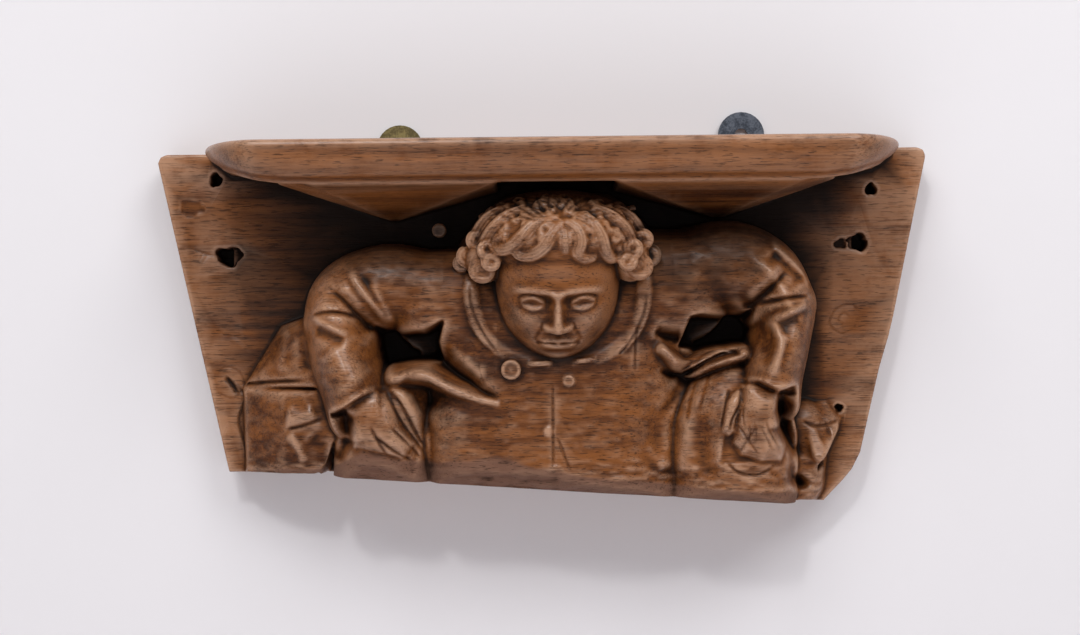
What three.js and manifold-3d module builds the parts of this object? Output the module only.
// A carved oak misericord: a seat board with a moulded ledge, and a man crouching under it who carries
// the ledge on his bent head and shoulders, hands on knees. Millimetres, +Z up, -Y towards the viewer.
// The origin lies in the flat back face, level with the man's face and on his centre line.

import * as THREE from "three";
import { ConvexGeometry } from "three/addons/geometries/ConvexGeometry.js";
import { mergeVertices } from "three/addons/utils/BufferGeometryUtils.js";
import Module from "manifold-3d";

const wasm = await Module();
wasm.setup();

// Edges shorter than the first are closed up where solids are joined; points closer than the second are one.
const facetTolerance = 0.02;
const mergeDistance = 1e-4;

// Seat board
const boardThickness = 34;
const boardTop = 134.5;
const boardReachLeft = 321;
const boardReachRight = 299;
const boardFootLeft = 266;
const boardFootRight = 210;
const boardDropLeft = 122;
const boardDropRight = 149.5;
const boardCornerCut = 20;
const boardCornerRound = 7;
const bottomStepLeft = 190;

// Ledge
const ledgeDepth = 160;
const ledgeThickness = 33;
const ledgeLift = 2;
const ledgeReachLeft = 277;
const ledgeReachRight = 271;
const ledgeCornerAcross = 52;
const ledgeCornerDeep = 110;
const ledgeTipThickness = 9;
const ledgeTaperRun = 74;
const mouldingSetback = 9;
const mouldingRound = 5;
const filletDrop = 4;
const filletSetback = 13;
const filletRise = 0.6;
const undersideFall = 1;
const undersideSetback = 3;
const ledgeRootSink = 4;
const ledgeFaceLean = 0.4;
const ledgeCornerSteps = 9;
const ledgeFrontSpans = 4;

// Sloping soffits under the ledge, beside the head
const soffitApexAcross = 130;
const soffitApexUp = 78;
const soffitOuterReach = 244;
const soffitInnerReach = 46;
const soffitFrontDepth = 147;
const soffitRootSink = 2;
const hollowRise = 13;

// The man, set out as a carver scales a drawing: so many parts to his width from elbow to elbow
const figureWidth = 400;
const drawingParts = 400;
const part = figureWidth / drawingParts;
const rootDepth = 20 * part;
const sawOverrun = 1;
const wornBandHeight = 15;
const wornBandDepth = 18;
const figureDepth = 104;
const cuffFloor = 104;
const armHollowFloor = 46;
const chestHollowFloor = 84;

// The head's own upright drawing, in the same parts, measured from the chin
const headHeight = 116;
const headHalfWidth = 48;
const headReach = 45;
const chinSink = 3;
const faceHeight = 90;
const faceThird = faceHeight / 3;
const faceTilt = THREE.MathUtils.degToRad(18);
const eyeAcross = 19;
const eyeLevel = faceThird * 1.72;
const noseBase = faceThird;
const mouthLevel = faceThird * 0.66;

// Fixing holes and sinkings in the board
const holeDepth = 24;
const holeSides = 10;
const sinkingDepth = 2.5;
// Across, up, half width, half height and depth of each
const boardSockets = [
  [-274.3, 113.7, 5, 6, holeDepth],
  [-262, 52, 9, 8, holeDepth],
  [-276, 50, 7, 5, holeDepth / 2],
  [254.5, 100.9, 5, 5, holeDepth],
  [246, 57, 7, 5, holeDepth],
  [232, 56, 8, 4, holeDepth / 2],
  [226.8, -75.6, 3.6, 3.6, holeDepth],
  [-264, 82, 17, 14, sinkingDepth],
  [-300, 90, 11, 8, sinkingDepth],
];

// Hanging plates let into the back
const plateThickness = 2;
const plateRadius = 19;
const plateStripWidth = 24;
const plateStripLength = 58;
const plateClearance = 0.3;
const plateHoleRadius = 5.5;
const plateHoleSides = 18;
const plateArcSteps = 22;
const plateLeftAcross = -127.5;
const plateLeftRise = 6;
const plateRightAcross = 153.5;
const plateRightRise = 14;

const oakMaterial = new THREE.MeshStandardMaterial({ color: 0x6d4224, roughness: 0.55, metalness: 0 });
const brassMaterial = new THREE.MeshStandardMaterial({ color: 0x7d6f3a, roughness: 0.45, metalness: 0.9 });
const steelMaterial = new THREE.MeshStandardMaterial({ color: 0x59616c, roughness: 0.4, metalness: 0.9 });

// A closed geometry as a solid that can be joined and cut.
function solid(geometry) {
  const bare = new THREE.BufferGeometry();
  bare.setAttribute("position", geometry.getAttribute("position"));
  if (geometry.index) bare.setIndex(geometry.index);
  const merged = mergeVertices(bare, mergeDistance);
  return new wasm.Manifold(
    new wasm.Mesh({
      numProp: 3,
      vertProperties: new Float32Array(merged.attributes.position.array),
      triVerts: new Uint32Array(merged.index.array),
      tolerance: facetTolerance,
    }),
  );
}

function joinAll(solids) {
  return solids.reduce((sum, next) => sum.add(next));
}

// The same body with the closed pockets between its overlapping forms filled.
function withoutPockets(body) {
  return joinAll(body.decompose().filter((shell) => shell.volume() > 0));
}

// The geometry of a solid, for a mesh.
function geometryOf(body) {
  const mesh = body.getMesh();
  const geometry = new THREE.BufferGeometry();
  geometry.setAttribute("position", new THREE.BufferAttribute(mesh.vertProperties, mesh.numProp));
  geometry.setIndex(new THREE.BufferAttribute(mesh.triVerts, 1));
  const flat = geometry.toNonIndexed();
  flat.computeVertexNormals();
  return flat;
}

// A place on the man's drawing: across, forward of the back face, and up.
function at(across, out, up) {
  return new THREE.Vector3(across * part, -out * part, up * part);
}

// An outline on the man's drawing, in millimetres.
function onDrawing(points) {
  return points.map(([across, up]) => [across * part, up * part]);
}

// An upright outline in the XZ plane, extruded between two depths forward of the back face.
function slab(points, outFront, outBack) {
  const outline = new THREE.Shape(points.map(([across, up]) => new THREE.Vector2(across, up)));
  const geometry = new THREE.ExtrudeGeometry(outline, { depth: outFront - outBack, bevelEnabled: false });
  geometry.rotateX(Math.PI / 2);
  geometry.translate(0, -outBack, 0);
  return solid(geometry);
}

// The unit capsule that limbs and swells bend along their spines.
const spineLength = 10;
function capsule(sides, steps, caps) {
  return new THREE.CapsuleGeometry(1, spineLength, caps, sides, steps);
}

// How far along the spine a capsule's vertex is, and how far past its end.
function alongCapsule(height) {
  const clamped = THREE.MathUtils.clamp(height, -spineLength / 2, spineLength / 2);
  return { share: clamped / spineLength + 0.5, past: height - clamped };
}

function curveOf(vectors) {
  return new THREE.CatmullRomCurve3(vectors, false, "centripetal");
}

// A value list spread evenly over 0..1 and read in between.
function readList(values, share) {
  const place = share * (values.length - 1);
  const first = Math.min(Math.floor(place), values.length - 2);
  const blend = THREE.MathUtils.smoothstep(place, first, first + 1);
  return THREE.MathUtils.lerp(values[first], values[first + 1], blend);
}

// A round, tapering member along points, as a finger, a curl or a fold: radii follow the points.
function limb(points, radii, sides = 8, steps = 6, caps = 2) {
  const spine = curveOf(points);
  const geometry = capsule(sides, steps, caps);
  const position = geometry.getAttribute("position");
  const centre = new THREE.Vector3();
  const tangent = new THREE.Vector3();
  const forward = new THREE.Vector3();
  const side = new THREE.Vector3();
  for (let i = 0; i < position.count; i += 1) {
    const { share, past } = alongCapsule(position.getY(i));
    const radius = readList(radii, share) * part;
    spine.getPoint(share, centre);
    spine.getTangent(share, tangent);
    forward.set(0, -1, 0).addScaledVector(tangent, tangent.y);
    if (forward.lengthSq() < 0.05) forward.set(0, 0, 1).addScaledVector(tangent, -tangent.z);
    forward.normalize();
    side.crossVectors(tangent, forward);
    centre.addScaledVector(tangent, past * radius);
    centre.addScaledVector(side, -position.getX(i) * radius);
    centre.addScaledVector(forward, -position.getZ(i) * radius);
    position.setXYZ(i, centre.x, centre.y, centre.z);
  }
  return solid(geometry);
}

// The man's main masses. Each swells forward out of the board along a spine whose places have
// across, up, how far the crest stands forward of the back face, and the half width. A low blunt
// gives a flat crest with steep sides, and 1 a round one. Sides, steps and caps count its facets.
const masses = [];
function mass(spine, blunt, sides, steps, caps) {
  masses.push({ spine, blunt, sides, steps, caps });
}

function spineOf(spine) {
  return {
    places: curveOf(spine.map(([across, up]) => at(across, 0, up))),
    crests: spine.map((place) => place[2]),
    widths: spine.map((place) => place[3]),
  };
}

// How far forward the masses stand at a place on the drawing, or the board where there is none.
function reliefAt(across, up) {
  const samples = 28;
  const spot = at(across, 0, up);
  const centre = new THREE.Vector3();
  let highest = boardThickness / part;
  for (const { spine, blunt } of masses) {
    const { places, crests, widths } = spineOf(spine);
    for (let k = 0; k <= samples; k += 1) {
      places.getPoint(k / samples, centre);
      const offCentre = centre.distanceTo(spot) / part / readList(widths, k / samples);
      if (offCentre >= 1) continue;
      const bulge = Math.sqrt(1 - offCentre ** 2) ** blunt;
      const root = rootDepth / part;
      highest = Math.max(highest, root + (readList(crests, k / samples) - root) * bulge);
    }
  }
  return highest;
}

// A mass as a solid, its back flat inside the board.
function swell({ spine, blunt, sides, steps, caps }) {
  const { places, crests, widths } = spineOf(spine);
  const geometry = capsule(sides, steps, caps);
  const position = geometry.getAttribute("position");
  const centre = new THREE.Vector3();
  const tangent = new THREE.Vector3();
  for (let i = 0; i < position.count; i += 1) {
    const { share, past } = alongCapsule(position.getY(i));
    const width = readList(widths, share) * part;
    const crest = readList(crests, share) * part;
    const bulge = Math.max(0, position.getZ(i)) ** blunt;
    const out = rootDepth + (crest - rootDepth) * bulge;
    places.getPoint(share, centre);
    places.getTangent(share, tangent);
    const acrossSpine = position.getX(i) * width;
    position.setXYZ(
      i,
      centre.x + tangent.x * past * width + tangent.z * acrossSpine,
      -out,
      centre.z + tangent.z * past * width - tangent.x * acrossSpine,
    );
  }
  return solid(geometry);
}

// An ellipsoid with its three half sizes, turned about X, Y and Z.
function blob(centre, halves, turns = [0, 0, 0], sides = 16, rings = 10) {
  const geometry = new THREE.SphereGeometry(part, sides, rings);
  geometry.scale(...halves);
  geometry.applyMatrix4(new THREE.Matrix4().makeRotationFromEuler(new THREE.Euler(...turns)));
  geometry.translate(centre.x, centre.y, centre.z);
  return solid(geometry);
}

const bottomSlope = (boardDropRight - boardDropLeft) / (bottomStepLeft + boardFootRight);
function bottomAt(across) {
  return -boardDropLeft - Math.max(0, across + bottomStepLeft) * bottomSlope;
}

function boardOutline() {
  const rightLean = (boardReachRight - boardFootRight) / (boardTop + boardDropRight);
  return [
    [-boardReachLeft + boardCornerRound, boardTop],
    [-boardReachLeft + boardCornerRound * 0.3, boardTop - boardCornerRound * 0.3],
    [-boardReachLeft, boardTop - boardCornerRound],
    [-boardFootLeft, -boardDropLeft],
    [-bottomStepLeft, bottomAt(-bottomStepLeft)],
    [boardFootRight, bottomAt(boardFootRight)],
    [boardFootRight + boardCornerCut, -boardDropRight + boardCornerCut],
    [boardReachRight - (boardReachRight - boardFootRight) * 0.42, -boardDropRight * 0.36 + rightLean],
    [boardReachRight, boardTop - boardCornerRound],
    [boardReachRight - boardCornerRound * 0.3, boardTop - boardCornerRound * 0.3],
    [boardReachRight - boardCornerRound, boardTop],
  ];
}

function seatBoard() {
  return slab(boardOutline().reverse(), boardThickness, 0);
}

// The ledge's plan, inset by a distance: straight front, quarter ellipses at the corners, straight sides.
function ledgePlan(inset) {
  const plan = [];
  const back = boardThickness - ledgeRootSink;
  const sideStart = ledgeDepth - ledgeCornerDeep;
  plan.push([-ledgeReachLeft + inset, back]);
  for (let k = 0; k <= ledgeCornerSteps; k += 1) {
    const angle = (k / ledgeCornerSteps) * (Math.PI / 2);
    plan.push([
      -ledgeReachLeft + ledgeCornerAcross - (ledgeCornerAcross - inset) * Math.cos(angle),
      sideStart + (ledgeCornerDeep - inset) * Math.sin(angle),
    ]);
  }
  const frontStart = -ledgeReachLeft + ledgeCornerAcross;
  const frontEnd = ledgeReachRight - ledgeCornerAcross;
  for (let k = 1; k < ledgeFrontSpans; k += 1) {
    plan.push([THREE.MathUtils.lerp(frontStart, frontEnd, k / ledgeFrontSpans), ledgeDepth - inset]);
  }
  for (let k = ledgeCornerSteps; k >= 0; k -= 1) {
    const angle = (k / ledgeCornerSteps) * (Math.PI / 2);
    plan.push([
      ledgeReachRight - ledgeCornerAcross + (ledgeCornerAcross - inset) * Math.cos(angle),
      sideStart + (ledgeCornerDeep - inset) * Math.sin(angle),
    ]);
  }
  plan.push([ledgeReachRight - inset, back]);
  return plan;
}

// The ledge thins towards its two ends, like the ends of a boat.
function ledgeDeepening(across) {
  const reach = across < 0 ? ledgeReachLeft : ledgeReachRight;
  const fromTip = THREE.MathUtils.clamp((reach - Math.abs(across)) / ledgeTaperRun, 0, 1);
  const swellOut = Math.sin((fromTip * Math.PI) / 2);
  return THREE.MathUtils.lerp(ledgeTipThickness / ledgeThickness, 1, swellOut);
}

// Rings of the plan, one for each step of the edge moulding, closed by a top and an underside.
function ledge() {
  const profile = [
    [0, mouldingRound * 0.6],
    [mouldingRound * 0.35, mouldingRound * 0.12],
    [mouldingRound, 0],
    [ledgeThickness * 0.5, ledgeFaceLean],
    [ledgeThickness * 0.82, mouldingSetback * 0.35],
    [ledgeThickness, mouldingSetback * 0.85],
    [ledgeThickness + filletRise, filletSetback],
    [ledgeThickness + filletDrop, filletSetback],
    [ledgeThickness + filletDrop + undersideFall, filletSetback + undersideSetback],
  ];
  const rings = profile.map(([drop, inset]) =>
    ledgePlan(inset).map(([across, out]) => {
      const lift = ledgeLift * ((out - boardThickness) / (ledgeDepth - boardThickness));
      return new THREE.Vector3(across, -out, boardTop + lift - drop * ledgeDeepening(across));
    }),
  );
  const count = rings[0].length;
  const vertices = rings.flat();
  const triangles = [];
  for (let ring = 0; ring + 1 < rings.length; ring += 1) {
    for (let i = 0; i < count; i += 1) {
      const next = (i + 1) % count;
      const upper = ring * count;
      const lower = upper + count;
      triangles.push(upper + i, lower + i, lower + next, upper + i, lower + next, upper + next);
    }
  }
  const plan = ledgePlan(0).map(([across, out]) => new THREE.Vector2(across, -out));
  const last = (rings.length - 1) * count;
  for (const [a, b, c] of THREE.ShapeUtils.triangulateShape(plan, [])) {
    const upward = THREE.ShapeUtils.area([plan[a], plan[b], plan[c]]) > 0;
    const [first, second] = upward ? [b, c] : [c, b];
    triangles.push(a, first, second, last + a, last + second, last + first);
  }
  const geometry = new THREE.BufferGeometry().setFromPoints(vertices);
  geometry.setIndex(triangles);
  return solid(geometry);
}

// One soffit: a wedge from the ledge's underside down and back to an apex on the board.
function soffit(sideways) {
  const ledgeUnder = boardTop - ledgeThickness;
  const outer = sideways * soffitOuterReach;
  const inner = sideways * soffitInnerReach;
  const apex = sideways * soffitApexAcross;
  const inLedge = ledgeUnder + hollowRise;
  const front = -soffitFrontDepth;
  const back = soffitRootSink - boardThickness;
  return solid(
    new ConvexGeometry([
      new THREE.Vector3(outer, back, inLedge),
      new THREE.Vector3(outer * 0.96, front * 0.7, ledgeUnder + hollowRise * 0.3),
      new THREE.Vector3(outer * 0.82, front, ledgeUnder),
      new THREE.Vector3(inner, front, ledgeUnder),
      new THREE.Vector3(apex, back, soffitApexUp),
      new THREE.Vector3(inner, back, ledgeUnder),
      new THREE.Vector3(outer * 0.82, front, inLedge),
      new THREE.Vector3(inner, front, inLedge),
      new THREE.Vector3(inner, back, inLedge),
    ]),
  );
}

// The chest, and the coat's skirt over the lap.
mass([[0, -140, 104, 100], [0, -80, 105, 106], [0, -20, 104, 108], [2, 20, 98, 88]], 0.42, 16, 6, 4);
mass([[-94, 8, 99, 38], [0, 0, 103, 46], [98, 18, 100, 40]], 0.35, 12, 4, 3);
mass([[-64, -118, 104, 42], [-74, -84, 101, 36], [-58, -66, 99, 26]], 0.5, 10, 4, 3);

// Shoulder with upper sleeve, then the forearm's sleeve down to its cuff, on each side.
mass(
  [[-56, 16, 98, 42], [-104, 22, 99, 34], [-138, 25, 99, 35], [-166, 12, 100, 33], [-172, -2, 104, 30]],
  0.45, 12, 7, 3,
);
mass(
  [[56, 30, 98, 42], [104, 35, 99, 35], [138, 38, 100, 38], [161, 30, 102, 34], [176, 8, 104, 30]],
  0.45, 12, 7, 3,
);
mass(
  [[-171, 2, 106, 30], [-168, -30, 113, 29], [-160, -58, 121, 27], [-157, -74, 123, 26]],
  0.55, 12, 5, 3,
);
mass([[179, 0, 108, 26], [174, -26, 115, 25], [166, -54, 121, 27], [165, -66, 122, 27]], 0.55, 12, 5, 3);

// The coat's edge rolled over each thigh, under the arm hollows.
mass([[-128, -47, 100, 13], [-102, -44, 107, 13], [-74, -56, 108, 13], [-48, -66, 104, 10]], 0.8, 9, 6, 2);
mass([[80, -26, 102, 10], [98, -40, 106, 11], [122, -34, 104, 12], [144, -30, 101, 10]], 0.8, 9, 6, 2);

// Both knees under the coat.
mass([[-124, -62, 98, 26], [-137, -88, 104, 37], [-140, -128, 100, 40]], 0.42, 12, 5, 3);
mass([[136, -58, 98, 26], [136, -86, 106, 50], [137, -132, 102, 54]], 0.42, 14, 5, 3);

// The coat's skirt beside the right leg, under the hanging tail.
mass([[196, -90, 50, 24], [190, -132, 54, 26]], 0.7, 10, 3, 3);

// Nape, joining the head to the shoulders and filling in behind the crown.
mass([[0, 54, 70, 50], [0, 30, 78, 56], [0, -4, 86, 44]], 0.5, 12, 4, 3);

// Knots and leaf ends on the board beside the shoulders.
mass([[-96, 66, 64, 8], [-91, 70, 66, 8]], 0.7, 8, 2, 2);
mass([[-196, 62, 54, 7], [-196, 46, 60, 8]], 0.8, 8, 3, 2);
mass([[96, 52, 58, 6], [104, 66, 60, 7]], 0.8, 8, 3, 2);

// A line on the work's face, a little under or over it.
function overRelief(points, lift) {
  return points.map(([across, up, more = 0]) => at(across, reliefAt(across, up) + lift + more, up));
}

// A fold of cloth: a slim ridge laid on the masses, thinning to both ends.
function fold(points, thick) {
  return limb(overRelief(points, -thick * 0.25), [thick * 0.3, thick, thick, thick * 0.3], 5, 4, 1);
}

// A hollow or a crease cut into the masses.
function gouge(points, thick) {
  return limb(overRelief(points, thick * 0.2), [thick * 0.35, thick, thick, thick * 0.35], 5, 4, 1);
}

function folds() {
  return joinAll([
    fold([[-162, 47], [-146, 24], [-128, -3]], 5),
    fold([[-143, 40], [-134, 18], [-127, -2]], 4),
    fold([[-192, 4], [-177, -2], [-163, -9]], 5),
    fold([[167, 60], [186, 46], [198, 20]], 5),
    fold([[196, 8], [168, -3], [170, -26], [162, -48]], 5),
    fold([[86, -84, 2], [84, -104, 2], [88, -128, 2]], 5),
    fold([[103, -84], [101, -104], [106, -130]], 5),
  ]);
}

function creases() {
  return joinAll([
    gouge([[-176, 26], [-158, 8], [-142, -8], [-132, -18]], 5),
    gouge([[-74, -30], [-60, -46], [-36, -56]], 4.5),
    gouge([[-132, -48], [-112, -56], [-92, -66]], 5),
    gouge([[184, 32], [168, 18], [152, 6], [140, -4]], 5.5),
    gouge([[200, 13], [178, 9], [156, 4]], 4),
    gouge([[80, -44], [96, -48], [110, -40], [122, -33]], 6),
    gouge([[-101, -74], [-101, -100], [-100, -124]], 4),
    gouge([[94, -62], [78, -78], [74, -100]], 4),
    gouge([[115, -84], [110, -106], [114, -128]], 3.5),
    gouge([[-190, -84], [-180, -70], [-176, -100], [-186, -124]], 5),
  ]);
}

// The two deep hollows between sleeve, chest and lap, and the shallow one beside the right one.
function armHollows() {
  const hollow = (points, floor) => slab(onDrawing(points), figureDepth * 1.3, floor * part);
  return joinAll([
    hollow(
      [
        [-143, -6], [-122, -11], [-104, -10], [-91, -4], [-92, -20],
        [-97, -31], [-112, -33], [-136, -34], [-138, -22],
      ],
      armHollowFloor,
    ),
    hollow([[101, -3], [112, 0], [151, 2], [148, -12], [147, -19], [118, -24], [92, -29]], armHollowFloor),
    hollow([[75, -13], [98, -12], [91, -24]], chestHollowFloor),
  ]);
}

// Coat spread on the board: a flap behind the left elbow, the skirt under it, and a tail on the right.
function coatOnBoard() {
  const root = rootDepth / part;
  const hull = (points) => solid(new ConvexGeometry(points.map((place) => at(...place))));
  return joinAll([
    hull([
      [-254, root, -50], [-222, root, -3], [-200, root, 4], [-180, root, -50],
      [-252, 36, -50], [-222, 38, -5], [-204, 48, 1], [-182, 84, -50], [-190, 82, -6], [-224, 60, -49],
    ]),
    hull([
      [-257, root, -54], [-256, root, -124], [-180, root, -56], [-184, root, -124],
      [-252, 42, -56], [-250, 44, -122], [-219, 66, -57], [-214, 71, -84], [-222, 62, -122],
      [-184, 74, -56], [-173, 76, -84], [-188, 70, -122],
    ]),
    hull([
      [196, root, -66], [230, root, -66], [232, root, -92], [213, root, -120], [200, root, -120],
      [198, 44, -68], [218, 40, -62], [229, 42, -84], [200, 54, -92], [224, 50, -96],
      [203, 62, -114], [212, 61, -115], [208, 58, -118],
    ]),
  ]);
}

// The open ends of the sleeves: what stands forward below each cuff's slanting edge is taken away.
function cuffEnds() {
  const below = (points) => slab(onDrawing(points.reverse()), figureDepth * 1.4, cuffFloor * part);
  const left = [[-190, -78], [-182, -75], [-167, -72], [-150, -60], [-128, -51], [-120, -120], [-200, -120]];
  const right = [[134, -51], [152, -52], [169, -58], [196, -59], [206, -114], [124, -114]];
  return below(left).add(below(right));
}

// A hand laid over its knee: the back of it, four fingers side by side, and a thumb.
function hand(wrist, knuckle, tip, spread, thick, thumb) {
  const turn = [0, Math.atan2(spread.z, -spread.x) + Math.PI, 0];
  const pieces = [
    limb([wrist, wrist.clone().lerp(knuckle, 0.8)], [thick * 1.7, thick * 1.9], 9, 2, 2),
    blob(wrist.clone().lerp(knuckle, 0.62), [thick * 2.5, thick * 1.5, thick * 2.1], turn, 10, 6),
  ];
  const fingers = 4;
  for (let finger = 0; finger < fingers; finger += 1) {
    const place = finger / (fingers - 1) - 0.5;
    const root = knuckle.clone().addScaledVector(spread, place);
    const end = tip.clone().addScaledVector(spread, place);
    end.lerp(root, 0.3 * Math.abs(place));
    const middle = root.clone().lerp(end, 0.45).add(at(0, 3, 0));
    pieces.push(limb([root, middle, end], [thick * 0.74, thick * 0.72, thick * 0.56], 6, 2, 1));
  }
  if (thumb) pieces.push(limb(thumb, [thick * 0.7, thick * 0.8, thick * 0.6], 6, 3, 2));
  return joinAll(pieces);
}

function hands() {
  return joinAll([
    hand(at(-151, 97, -60), at(-137, 103, -86), at(-120, 102, -110), at(33, 0, 13), 8.5, null),
    hand(at(165, 97, -58), at(158, 104, -86), at(157, 102, -114), at(37, 0, 1), 9, [
      at(136, 102, -54),
      at(129, 110, -72),
      at(127, 107, -94),
    ]),
    blob(at(183, 72, -67), [7, 9, 6], [0, 0, 0], 9, 6),
  ]);
}

// The standing collar, the buttons of the coat's front and the boss on the board beside the shoulder.
function collarAndButtons() {
  const left = [at(-64, 84, 34), at(-60, 100, 4), at(-46, 104, -18), at(-24, 105, -38), at(4, 104, -48)];
  const right = [at(66, 84, 26), at(60, 98, 0), at(50, 103, -22), at(30, 105, -40), at(8, 104, -48)];
  const radii = [5, 6, 6, 5.5, 4.5];
  return joinAll([
    limb(left, radii, 6, 7, 1),
    limb(right, radii, 6, 7, 1),
    button(at(-36.5, 104, -39.5), 7.6, 5),
    button(at(7, 103, -51), 5.4, 5),
    button(at(-7.5, 104, -88), 4.6, 3.4),
    button(at(86, 56, 60), 8, 12),
  ]);
}

// A turned button with a rim, facing the viewer.
function button(centre, radius, height) {
  const profile = [
    [0, -height],
    [radius * 0.9, -height],
    [radius, height * 0.5],
    [radius * 0.82, height],
    [radius * 0.62, height * 0.72],
    [0, height * 0.9],
  ];
  const section = profile.map(([x, y]) => new THREE.Vector2(x * part, y * part));
  const geometry = new THREE.LatheGeometry(section, 12);
  geometry.rotateX(Math.PI / 2);
  geometry.translate(centre.x, centre.y, centre.z);
  return solid(geometry);
}

const chinPlace = at(0, 79.5, -25.7);

// A place on the head's drawing, across, forward and up from the chin, once the head is bent forward.
function onHead(across, forward, up) {
  return new THREE.Vector3(across * part, -forward * part, up * part).applyAxisAngle(
    new THREE.Vector3(1, 0, 0),
    faceTilt,
  ).add(chinPlace);
}

function headBlob(across, forward, up, halves, turn = [0, 0, 0], sides = 14, rings = 9) {
  const turned = blob(new THREE.Vector3(), halves, turn, sides, rings);
  const place = onHead(across, forward, up);
  return turned.rotate([THREE.MathUtils.radToDeg(faceTilt), 0, 0]).translate([place.x, place.y, place.z]);
}

// Half width of the head, and its reach forward and back, at a height over the chin.
function headSection(up) {
  const middle = headHeight * 0.56;
  const low = THREE.MathUtils.clamp((middle - up) / (middle + chinSink), 0, 1);
  const high = THREE.MathUtils.clamp((up - middle) / (headHeight - middle), 0, 1);
  const width = headHalfWidth * (1 - low ** 2.6) ** 0.5 * (1 - high ** 2.4) ** 0.5;
  const reach = headReach * (1 - low ** 5) ** 0.5 * (1 - high ** 2.6) ** 0.5 * (1 - 0.1 * low);
  return { width, reach };
}

// The head without its features: rings of that section from under the chin to the crown.
function skull() {
  const geometry = new THREE.SphereGeometry(1, 18, 13);
  const position = geometry.getAttribute("position");
  for (let i = 0; i < position.count; i += 1) {
    const share = 0.5 + Math.asin(THREE.MathUtils.clamp(position.getY(i), -1, 1)) / Math.PI;
    const up = THREE.MathUtils.lerp(-chinSink, headHeight, share);
    const turn = Math.atan2(position.getX(i), position.getZ(i));
    const { width, reach } = headSection(up);
    const forward = reach * Math.sign(Math.cos(turn)) * Math.abs(Math.cos(turn)) ** 0.85;
    const place = onHead(width * Math.sin(turn), forward, up);
    position.setXYZ(i, place.x, place.y, place.z);
  }
  return solid(geometry);
}

// The nose as a carver blocks it out: bridge, tip, wings and flat underside.
function nose() {
  const sides = [
    [3.5, 43, 58], [4.5, 44.5, 50], [4, 52, 38], [4.5, 55, 33], [4, 53, noseBase],
    [9.5, 44, noseBase + 1], [9, 40, noseBase + 7], [9, 36, noseBase], [6, 34, 58],
  ];
  const points = [-1, 1].flatMap((side) =>
    sides.map(([across, forward, up]) => onHead(side * across, forward, up)),
  );
  return solid(new ConvexGeometry(points));
}

function head() {
  const lip = (up, forward, droop, thick) => {
    const spine = [onHead(-13, forward - 6, up), onHead(0, forward, up + droop), onHead(13, forward - 6, up)];
    return limb(spine, [1.4, thick, 1.4], 6, 4, 1);
  };
  const sockets = [-1, 1].map((side) =>
    headBlob(side * eyeAcross, 44.5, eyeLevel, [12, 7, 7.5], [0, 0, 0], 9, 6),
  );
  const pieces = [
    skull().subtract(joinAll(sockets)),
    nose(),
    headBlob(0, 31, 7, [13, 9, 8], [0, 0, 0], 10, 6),
    lip(mouthLevel + 1, 41, 1.6, 3.4),
    lip(mouthLevel - 3, 39.5, -2, 4),
  ];
  for (const side of [-1, 1]) {
    const eye = side * eyeAcross;
    const brow = [onHead(side * 5, 43, 60), onHead(side * 19, 41, 64), onHead(side * 34, 32, 60)];
    const lid = [
      onHead(eye - 10, 37 - side, eyeLevel),
      onHead(eye, 42, eyeLevel + 3.6),
      onHead(eye + 10, 37, eyeLevel),
    ];
    const under = [
      onHead(eye - 9, 35, eyeLevel - 1),
      onHead(eye, 39, eyeLevel - 5),
      onHead(eye + 9, 35, eyeLevel - 1),
    ];
    pieces.push(
      limb(brow, [2, 3.4, 2], 6, 4, 1),
      headBlob(eye, 32.5, eyeLevel, [9.8, 8, 6.4], [0, 0, 0], 10, 6),
      limb(lid, [1.2, 1.8, 1.2], 5, 4, 1),
      limb(under, [1, 1.6, 1], 5, 4, 1),
    );
  }
  return joinAll(pieces);
}

// Locks of hair in a row round the brow: each comes off the crown, swells and bends aside at its tip.
function locks(count, spanAngle, rootUp, rootForward, tipUp, tipForward, thick, phase) {
  const made = [];
  for (let k = 0; k < count; k += 1) {
    const angle = (k / (count - 1) - 0.5) * spanAngle;
    const outward = angle < 0 ? -1 : 1;
    const level = tipUp - 8 * Math.sin(angle) ** 2 + 2.5 * Math.sin(k * 2.4 + phase);
    const spot = (turn, forward, up) =>
      onHead(Math.sin(angle + turn * outward) * forward * 1.06, Math.cos(angle + turn * outward) * forward, up);
    const points = [
      spot(-0.08, rootForward, rootUp),
      spot(0.1, (rootForward + tipForward) / 2 + 3, (rootUp + level) / 2 + 5),
      spot(0.08, tipForward + 2, level + 4),
      spot(-0.1, tipForward + 1, level - 2),
    ];
    made.push(limb(points, [thick * 0.8, thick, thick, thick * 0.62], 5, 4, 1));
  }
  return made;
}

// A curl seen end on, as a ring.
function curl(across, forward, up, radius, thick) {
  const geometry = new THREE.TorusGeometry(radius * part, thick * part, 6, 10);
  geometry.rotateX(Math.PI / 2);
  const place = onHead(across, forward, up);
  geometry.translate(place.x, place.y, place.z);
  return solid(geometry);
}

function hair() {
  const pieces = [headBlob(0, -6, 93, [60, 50, 31], [0, 0, 0], 16, 9)];
  pieces.push(...locks(9, THREE.MathUtils.degToRad(190), 110, 32, 88, 45, 8, 0));
  pieces.push(...locks(5, THREE.MathUtils.degToRad(140), 120, 16, 104, 40, 9, 1.3));
  for (const side of [-1, 1]) {
    pieces.push(headBlob(side * 61, 6, 76, [14, 22, 20], [0, 0, 0], 8, 5));
    pieces.push(curl(side * 60, 25, 65, 8.5, 6.2));
    pieces.push(curl(side * 72, 7, 76, 8, 6));
  }
  return joinAll(pieces);
}

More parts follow.
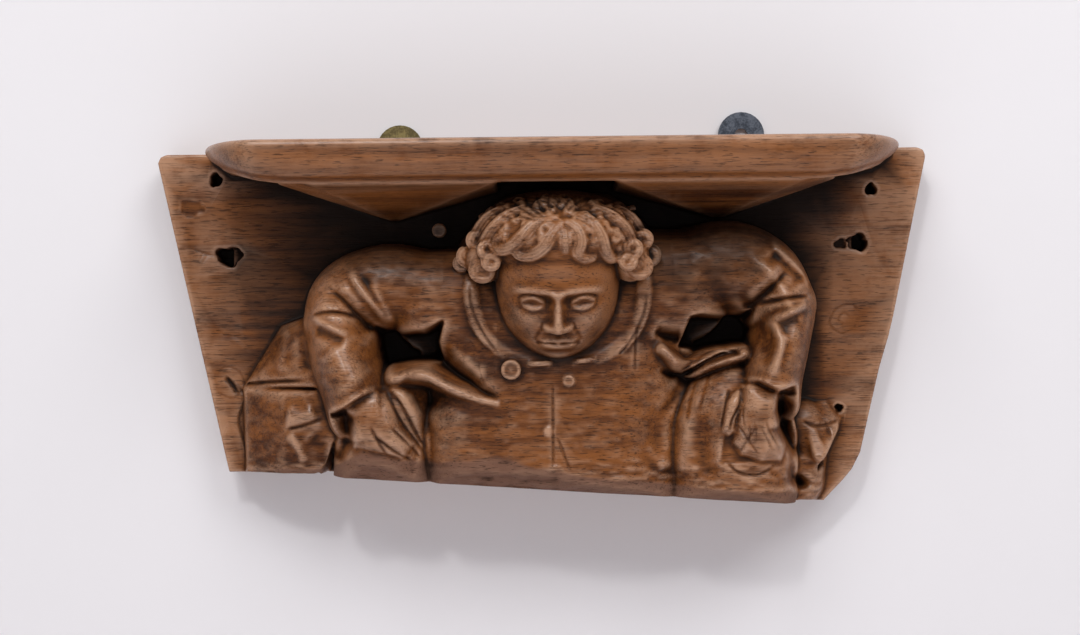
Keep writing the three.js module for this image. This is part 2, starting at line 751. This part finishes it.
// The rough bevel where the man's lower edge has worn away, and the slanting saw cut under him.
function wornBand() {
  const reach = boardReachLeft;
  const far = figureDepth * 2;
  const outline = [
    [-reach, bottomAt(-reach) - far],
    [reach, bottomAt(reach) - far],
    [reach, bottomAt(reach)],
    [-bottomStepLeft, bottomAt(-bottomStepLeft)],
    [-reach, bottomAt(-reach)],
  ];
  const lower = slab(outline, far, -sawOverrun);
  const front = -figureDepth - wornBandDepth * 0.4;
  const corners = [];
  for (const across of [-reach, -bottomStepLeft, boardReachRight]) {
    const foot = bottomAt(across);
    corners.push([
      new THREE.Vector3(across, front, foot + wornBandHeight * 1.4),
      new THREE.Vector3(across, -figureDepth + wornBandDepth, foot - sawOverrun),
      new THREE.Vector3(across, front, foot - sawOverrun),
    ]);
  }
  const bevels = [];
  for (let k = 0; k + 1 < corners.length; k += 1) {
    bevels.push(solid(new ConvexGeometry([...corners[k], ...corners[k + 1]])));
  }
  return joinAll([lower, ...bevels]);
}

// The board's lower right corner is cut off, through everything that stands on it.
function cornerCut() {
  const far = figureDepth * 2;
  const outside = boardFootRight + far;
  const outline = [
    [boardFootRight, -boardDropRight - far],
    [outside, -boardDropRight - far],
    [outside, -boardDropRight + boardCornerCut],
    [boardFootRight + boardCornerCut, -boardDropRight + boardCornerCut],
    [boardFootRight, -boardDropRight],
  ];
  return slab(outline, far, -sawOverrun);
}

// An upright, rounded socket cut into the board's front.
function socket(across, up, halfWidth, halfHeight, depth) {
  const points = [];
  for (let k = 0; k < holeSides; k += 1) {
    const angle = (k / holeSides) * Math.PI * 2;
    points.push([across + halfWidth * Math.cos(angle), up + halfHeight * Math.sin(angle)]);
  }
  return slab(points, boardThickness * 1.5, boardThickness - depth);
}

function boardHoles() {
  return joinAll(boardSockets.map((row) => socket(...row)));
}

// A hanging plate: a round tab that shows above the board, on a strip let into its back.
function plateOutline(across, rise, grow) {
  const points = [];
  const centre = boardTop + rise;
  const half = plateStripWidth / 2 + grow;
  const radius = plateRadius + grow;
  const start = Math.asin(half / radius);
  for (let k = 0; k <= plateArcSteps; k += 1) {
    const angle = -Math.PI / 2 + start + (k / plateArcSteps) * (Math.PI * 2 - 2 * start);
    points.push([across + radius * Math.cos(angle), centre + radius * Math.sin(angle)]);
  }
  points.push([across - half, centre - plateStripLength - grow], [across + half, centre - plateStripLength - grow]);
  return points;
}

function hangerPlate(across, rise, holed) {
  const blank = slab(plateOutline(across, rise, 0), plateThickness, 0);
  if (!holed) return blank;
  const centre = boardTop + rise;
  const points = [];
  for (let k = 0; k < plateHoleSides; k += 1) {
    const angle = (k / plateHoleSides) * Math.PI * 2;
    points.push([across + plateHoleRadius * Math.cos(angle), centre + plateHoleRadius * Math.sin(angle)]);
  }
  return blank.subtract(slab(points, plateThickness * 2, -plateThickness));
}

function plateRebates() {
  const deep = plateThickness + plateClearance;
  return joinAll([
    slab(plateOutline(plateLeftAcross, plateLeftRise, plateClearance), deep, -deep),
    slab(plateOutline(plateRightAcross, plateRightRise, plateClearance), deep, -deep),
  ]);
}

function carvedBlock() {
  const figure = joinAll([...masses.map(swell), folds(), coatOnBoard()])
    .subtract(armHollows())
    .subtract(creases())
    .subtract(cuffEnds())
    .add(joinAll([hands(), collarAndButtons(), head(), hair()]))
    .subtract(wornBand())
    .subtract(cornerCut());
  const board = seatBoard().subtract(boardHoles());
  return withoutPockets(joinAll([board, ledge(), soffit(-1), soffit(1), figure]).subtract(plateRebates()));
}

function mesh(name, body, material) {
  const made = new THREE.Mesh(geometryOf(body), material);
  made.name = name;
  return made;
}

const misericord = new THREE.Group();
misericord.add(mesh("carved_block", carvedBlock(), oakMaterial));
misericord.add(mesh("hanger_plate_left", hangerPlate(plateLeftAcross, plateLeftRise, false), brassMaterial));
misericord.add(mesh("hanger_plate_right", hangerPlate(plateRightAcross, plateRightRise, true), steelMaterial));

export default misericord;
